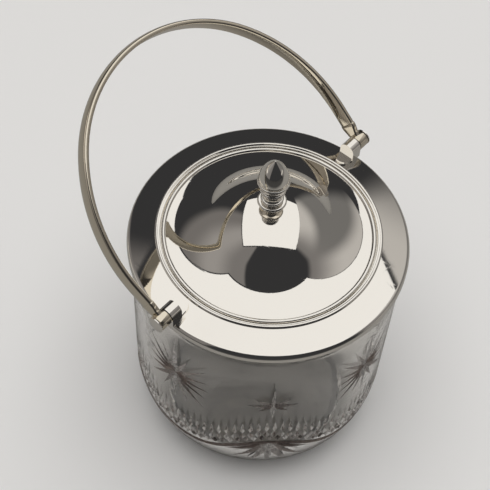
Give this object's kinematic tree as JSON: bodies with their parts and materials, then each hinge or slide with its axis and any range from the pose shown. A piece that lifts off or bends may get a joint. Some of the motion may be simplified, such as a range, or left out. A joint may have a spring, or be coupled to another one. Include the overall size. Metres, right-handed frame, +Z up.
{
  "type": "biscuit jar",
  "caption": "Cut-glass biscuit jar with a silver-plated collar, a domed lift-off lid with a bud finial, and a swing handle hinged on the collar.",
  "frame": {"origin": "centre of the base, on the plane that the jar stands on", "axes": "+Z up along the jar's axis; X along the handle's pivot line; the resting handle leans towards +Y"},
  "size_m": [0.1526, 0.1581, 0.2103],
  "materials": {
    "cut_glass": "polished, with deep cuts",
    "silver_plate": "bright silver plate with fine wear",
    "plaster": "set plaster",
    "steel": "turned"
  },
  "bodies": {
    "jar": {"glass_jar": "cut_glass", "cement_ring": "plaster", "collar_flange": "silver_plate", "collar_neck_band": "silver_plate", "collar_mouth_tube": "silver_plate", "collar_rim_wire": "silver_plate", "left_lug": "silver_plate", "right_lug": "silver_plate", "left_pivot_pin": "silver_plate", "right_pivot_pin": "silver_plate"},
    "lid": {"lid_dome": "silver_plate", "lid_edge_wire": "silver_plate", "lid_bezel": "silver_plate", "finial_base": "silver_plate", "finial_spool": "silver_plate", "finial_bud": "silver_plate", "finial_stud": "steel", "finial_washer": "steel", "finial_nut": "steel"},
    "handle": {"handle_strap": "silver_plate", "left_handle_boss": "silver_plate", "right_handle_boss": "silver_plate"}
  },
  "joints": [
    {"name": "lid_lift", "type": "slide", "parent": "jar", "child": "lid", "axis": [0, 0, 1], "range_m": [0, 0.12]},
    {"name": "handle_swing", "type": "hinge", "parent": "jar", "child": "handle", "pos_m": [0, 0.0025, 0.145], "axis": [1, 0, 0], "range_deg": [0, 108]}
  ]
}
